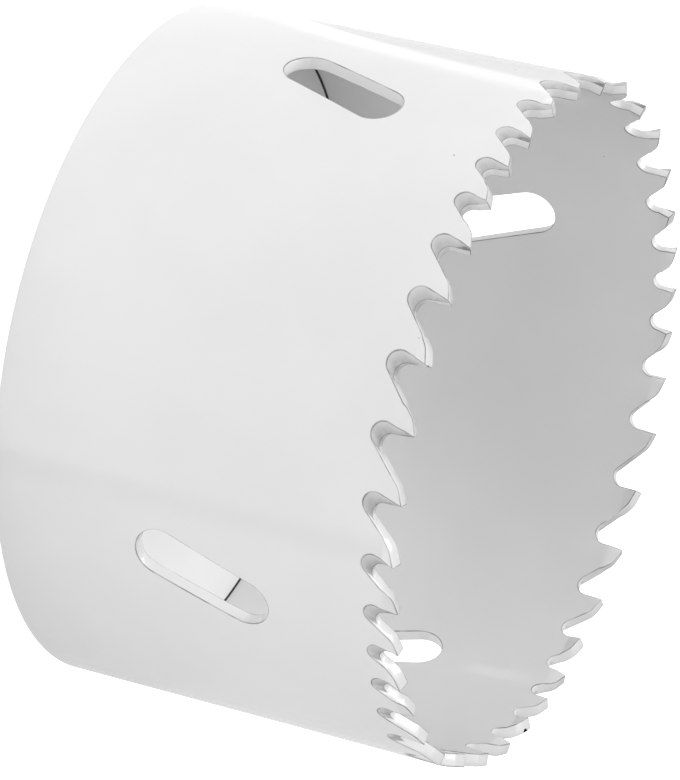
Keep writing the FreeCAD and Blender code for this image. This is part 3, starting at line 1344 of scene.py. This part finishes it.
    def on_pin_hole(self, edge: bmesh.types.BMEdge) -> bool:
        """Say whether an edge of the disc is part of a pin hole's rim."""
        flat = abs(edge.verts[0].co.z - edge.verts[1].co.z) < MERGE_DISTANCE
        return flat and any(
            all(
                abs((vertex.co.xy - centre.xy).length - self.pin_diameter / 2) < self.pin_tolerance
                for vertex in edge.verts
            )
            for centre in self.pin_centres()
        )

    def drill(self, disc: bpy.types.Object) -> None:
        """Drill the pin holes, break their edges and dissolve the slivers that this leaves.

        The drill is turned by half a facet, so that none of its edges meets the disc's own.

        Args:
            disc: The turned disc.
        """
        for centre in self.pin_centres():
            bpy.ops.object.select_all(action="DESELECT")
            bpy.ops.mesh.primitive_cylinder_add(
                vertices=self.hole_steps,
                radius=self.pin_diameter / 2,
                depth=self.thickness + 2 * OUTWARD_STEP,
                location=centre + Vector((0.0, 0.0, self.thickness / 2)),
                rotation=(0.0, 0.0, math.pi / self.hole_steps),
            )
            carve(disc, bpy.context.object)
        with editing(disc):
            choose(disc, Element.EDGE, self.on_pin_hole)
            round_off(self.pin_edge, self.pin_edge_steps)
            mark_crests(disc)
            bpy.ops.mesh.select_all(action="SELECT")
            bpy.ops.mesh.dissolve_degenerate(threshold=MERGE_DISTANCE)

    def build(self, finish: bpy.types.Material) -> bpy.types.Object:
        """Model the plate, place it and give it its finish.

        Args:
            finish: The enamel.

        Returns:
            The finished piece.
        """
        disc = self.turn_disc()
        carve(disc, self.tap())
        self.drill(disc)
        settle(disc)
        soften(disc, self.sharp_above)
        hand_over(disc, finish, self.node)
        return disc


@dataclass
class RearWeld:
    """The weld that joins plate and wall at the rear, in the groove between their edges.

    Lengths are in millimetres.

    Attributes:
        name: The piece's name.
        slot: The record's material slot; not used.
        bead: The bead's radius.
        groove_inset: How far the bead's middle lies inside the plate's rim.
        floor_gap: How far the bead stays above the floor.
        ripple: How deep its ripples are.
        ripple_length: The distance of two ripples.
        steps_per_ripple: Into how many pieces a ripple is cut.
        bead_steps: Into how many faces the bead is cut all round.
    """

    name: str = "rear_weld"
    slot: str = "plate_enamel"
    bead: float = 0.3
    groove_inset: float = 0.08
    floor_gap: float = 0.05
    ripple: float = 0.04
    ripple_length: float = 0.9
    steps_per_ripple: int = 4
    bead_steps: int = 12

    def build(self, plate: EndPlate, finish: bpy.types.Material) -> bpy.types.Object:
        """Model the weld, place it and give it its finish.

        Args:
            plate: The plate that it holds.
            finish: The enamel.

        Returns:
            The finished piece.
        """
        ring = plate.radius - self.groove_inset
        steps = round(2 * math.pi * ring / self.ripple_length) * self.steps_per_ripple
        bpy.ops.object.select_all(action="DESELECT")
        bpy.ops.mesh.primitive_torus_add(
            location=(0.0, 0.0, self.bead + self.floor_gap),
            major_segments=steps,
            minor_segments=self.bead_steps,
            major_radius=ring,
            minor_radius=self.bead,
        )
        weld = bpy.context.object
        weld.name = weld.data.name = self.name

        def in_dip(vertex: bmesh.types.BMVert) -> bool:
            """Say whether a vertex of the bead lies in the dip between two ripples."""
            turn = math.atan2(vertex.co.y, vertex.co.x) / (2 * math.pi)
            return round(turn * steps) % self.steps_per_ripple == 0

        with editing(weld):
            choose(weld, Element.VERTEX, in_dip)
            bpy.ops.transform.shrink_fatten(value=-self.ripple)
        settle(weld)
        only(weld)
        bpy.ops.object.shade_smooth()
        hand_over(weld, finish)
        return weld


@dataclass
class Viewpoint:
    """The photograph's camera, in millimetres and degrees.

    Attributes:
        aim: The point in the middle of the picture.
        distance: How far the camera is from that point.
        azimuth: The camera's azimuth, seen from that point.
        elevation: Its elevation.
        roll: How far it is turned about its line of sight.
        lens: Its focal length.
        sensor: The width of its sensor.
    """

    aim: tuple[float, float, float] = (-0.92, -0.605, 19.893)
    distance: float = 427.6
    azimuth: float = 142.028
    elevation: float = 22.369
    roll: float = 103.282
    lens: float = 201.03
    sensor: float = 36.0

    def build(self) -> bpy.types.Object:
        """Add the camera and make it the scene's own.

        Returns:
            The camera.
        """
        turn = (
            Matrix.Rotation(math.radians(self.azimuth + 90), 4, "Z")
            @ Matrix.Rotation(math.radians(90 - self.elevation), 4, "X")
            @ Matrix.Rotation(math.radians(self.roll), 4, "Z")
        )
        back = turn.to_3x3() @ Vector((0.0, 0.0, 1.0))
        place = (Vector(self.aim) + back * self.distance) * MM
        bpy.ops.object.select_all(action="DESELECT")
        bpy.ops.object.camera_add()
        camera = bpy.context.object
        camera.matrix_world = Matrix.Translation(place) @ turn
        camera.data.lens = self.lens
        camera.data.sensor_width = self.sensor
        bpy.context.scene.camera = camera
        return camera


@dataclass
class Softbox:
    """A soft lamp that is aimed at the cup, in metres, degrees and watts.

    Attributes:
        name: The lamp's name.
        azimuth: Its azimuth, seen from the cup.
        elevation: Its elevation, seen from the cup.
        width: The width of its face.
        height: The height of its face.
        power: Its power.
        distance: How far it is from the cup.
    """

    name: str
    azimuth: float
    elevation: float
    width: float
    height: float
    power: float
    distance: float = 0.6

    def build(self, target: Vector) -> bpy.types.Object:
        """Add the lamp.

        Args:
            target: What it is aimed at.

        Returns:
            The lamp.
        """
        azimuth, elevation = math.radians(self.azimuth), math.radians(self.elevation)
        away = Vector((
            math.cos(elevation) * math.cos(azimuth),
            math.cos(elevation) * math.sin(azimuth),
            math.sin(elevation),
        ))
        bpy.ops.object.select_all(action="DESELECT")
        bpy.ops.object.light_add(type="AREA", location=target + away * self.distance)
        lamp = bpy.context.object
        lamp.name = self.name
        lamp.rotation_euler = away.to_track_quat("Z", "Y").to_euler()
        lamp.data.shape = "RECTANGLE"
        lamp.data.size, lamp.data.size_y = self.width, self.height
        lamp.data.energy = self.power
        lamp.visible_camera = False
        return lamp


@dataclass
class Studio:
    """The pale floor, the sky and the soft lamps.

    The enamel mirrors the floor as three stretches: a bright one, a dark band and a grey one.
    The band's two borders are straight lines over the floor, which the cup's wall mirrors as
    straight edges.

    Attributes:
        sky: The sky's level in light and reflections; the camera sees white.
        floor_level: The level of the floor's paint.
        reflected_floor: The level of that paint in reflections.
        floor_roughness: The floor's roughness.
        floor_light: The floor's own glow, which lights the cup.
        floor_glow: The glow that the camera sees, which leaves the cup's shadow visible.
        floor_size: The floor's width in metres.
        floor_gap: How far the floor lies below the cup, in millimetres.
        wall_radius: The radius of the wall that mirrors the floor, in millimetres.
        sight: The azimuth from which the wall is looked at, in degrees.
        edges: Where the band's borders are seen on the wall, as azimuths in degrees.
        edge_blur: How far a border is blurred to each side, in millimetres.
        reflections: The glow of the bright stretch, of the band and of the grey stretch.
        target: What the lamps are aimed at, in metres.
        lamps: The lamps.
    """

    sky: float = 0.08
    floor_level: float = 0.8
    reflected_floor: float = 0.4
    floor_roughness: float = 0.9
    floor_light: float = 0.37
    floor_glow: float = 0.85
    floor_size: float = 4.0
    floor_gap: float = 0.02
    wall_radius: float = 34.0
    sight: float = 140.0
    edges: tuple[float, float] = (165.5, 169.5)
    edge_blur: float = 0.4
    reflections: tuple[float, float, float] = (0.85, 0.0, 0.55)
    target: tuple[float, float, float] = (0.0, 0.0, 0.02)
    lamps: tuple[Softbox, ...] = (
        Softbox("key", azimuth=48.0, elevation=55.0, width=0.4, height=0.3, power=1.95),
        Softbox("top", azimuth=66.0, elevation=82.0, width=0.4, height=0.4, power=0.8),
        Softbox("low_fill", azimuth=142.0, elevation=8.0, width=0.5, height=0.14, power=0.3),
        Softbox("high_fill", azimuth=142.0, elevation=40.0, width=0.4, height=0.3, power=0.92),
        Softbox("side", azimuth=232.0, elevation=20.0, width=0.4, height=0.3, power=0.62),
    )

    def floor(self) -> bpy.types.Object:
        """Add the floor, white to the camera and with the cup's shadow kept.

        Returns:
            The floor.
        """
        bpy.ops.object.select_all(action="DESELECT")
        bpy.ops.mesh.primitive_plane_add(
            size=self.floor_size, location=(0.0, 0.0, -self.floor_gap * MM)
        )
        floor = bpy.context.object
        floor.name = "floor"
        bench = ShaderBench(bpy.data.materials.new("pale_floor"))
        mirrored = bench.ray("Is Glossy Ray")
        glow = bench.blend(bench.ray("Is Camera Ray"), grey(self.floor_light), grey(self.floor_glow))
        floor.data.materials.append(bench.finish(bench.node("ShaderNodeBsdfPrincipled", {}, {
            "Base Color": bench.blend(mirrored, grey(self.floor_level), grey(self.reflected_floor)),
            "Roughness": self.floor_roughness,
            "Specular IOR Level": 0.0,
            "Emission Color": bench.blend(mirrored, glow, self.reflected(bench)),
            "Emission Strength": 1.0,
        })))
        return floor

    def beyond(self, bench: ShaderBench, azimuth: float) -> Value:
        """Return 1 on one side of a line over the floor, which the wall mirrors as a straight edge.

        Args:
            bench: The floor's nodes.
            azimuth: Where the edge shall be seen on the wall, in degrees.

        Returns:
            0 on the key lamp's side of the line and 1 on the other.
        """
        foot = Vector((math.cos(math.radians(azimuth)), math.sin(math.radians(azimuth)), 0.0))
        course = math.radians(2 * azimuth - self.sight)
        normal = Vector((-math.sin(course), math.cos(course), 0.0))
        reach = bench.between(bench.place(), "DOT_PRODUCT", tuple(normal))
        line = normal.dot(foot) * self.wall_radius
        return reach.step((line - self.edge_blur) * MM, (line + self.edge_blur) * MM)

    def reflected(self, bench: ShaderBench) -> Value:
        """Return the floor's glow in reflections: the bright stretch, the band and the grey stretch."""
        near, band, far = self.reflections
        start, end = (self.beyond(bench, azimuth) for azimuth in self.edges)
        level = near - (near - band) * start + (far - band) * end
        return bench.node("ShaderNodeCombineColor", {}, {0: level, 1: level, 2: level})

    def sky_world(self) -> bpy.types.World:
        """Make the sky, white to the camera.

        Returns:
            The world with the sky.
        """
        bench = ShaderBench(bpy.data.worlds.new("sky"))
        glow = bench.blend(bench.ray("Is Camera Ray"), grey(self.sky), grey(1.0))
        background = bench.node("ShaderNodeBackground", {}, {"Color": glow})
        return bench.finish(background, "ShaderNodeOutputWorld")

    def build(self) -> None:
        """Add the floor, the sky and the lamps."""
        self.floor()
        bpy.context.scene.world = self.sky_world()
        for lamp in self.lamps:
            lamp.build(Vector(self.target))


def main() -> None:
    """Build the pieces, the studio and the camera in order."""
    logging.basicConfig(level=logging.INFO, format="%(name)s: %(message)s")
    bpy.context.scene.view_settings.view_transform = "Standard"
    Viewpoint().build()
    Studio().build()
    shell, plate = ToothedShell(), EndPlate()
    seam = (plate.thickness - plate.seam_depth, plate.thickness + plate.seam_width / 2)
    shell.build(Enamel("shell_enamel", shell.radius, shell.scoop_inset, bare=seam, chips=CHIPS).build())
    plate_enamel = Enamel("plate_enamel", shell.radius, shell.scoop_inset).build()
    plate.build(plate_enamel)
    RearWeld().build(plate, plate_enamel)


if __name__ == "__main__":
    main()
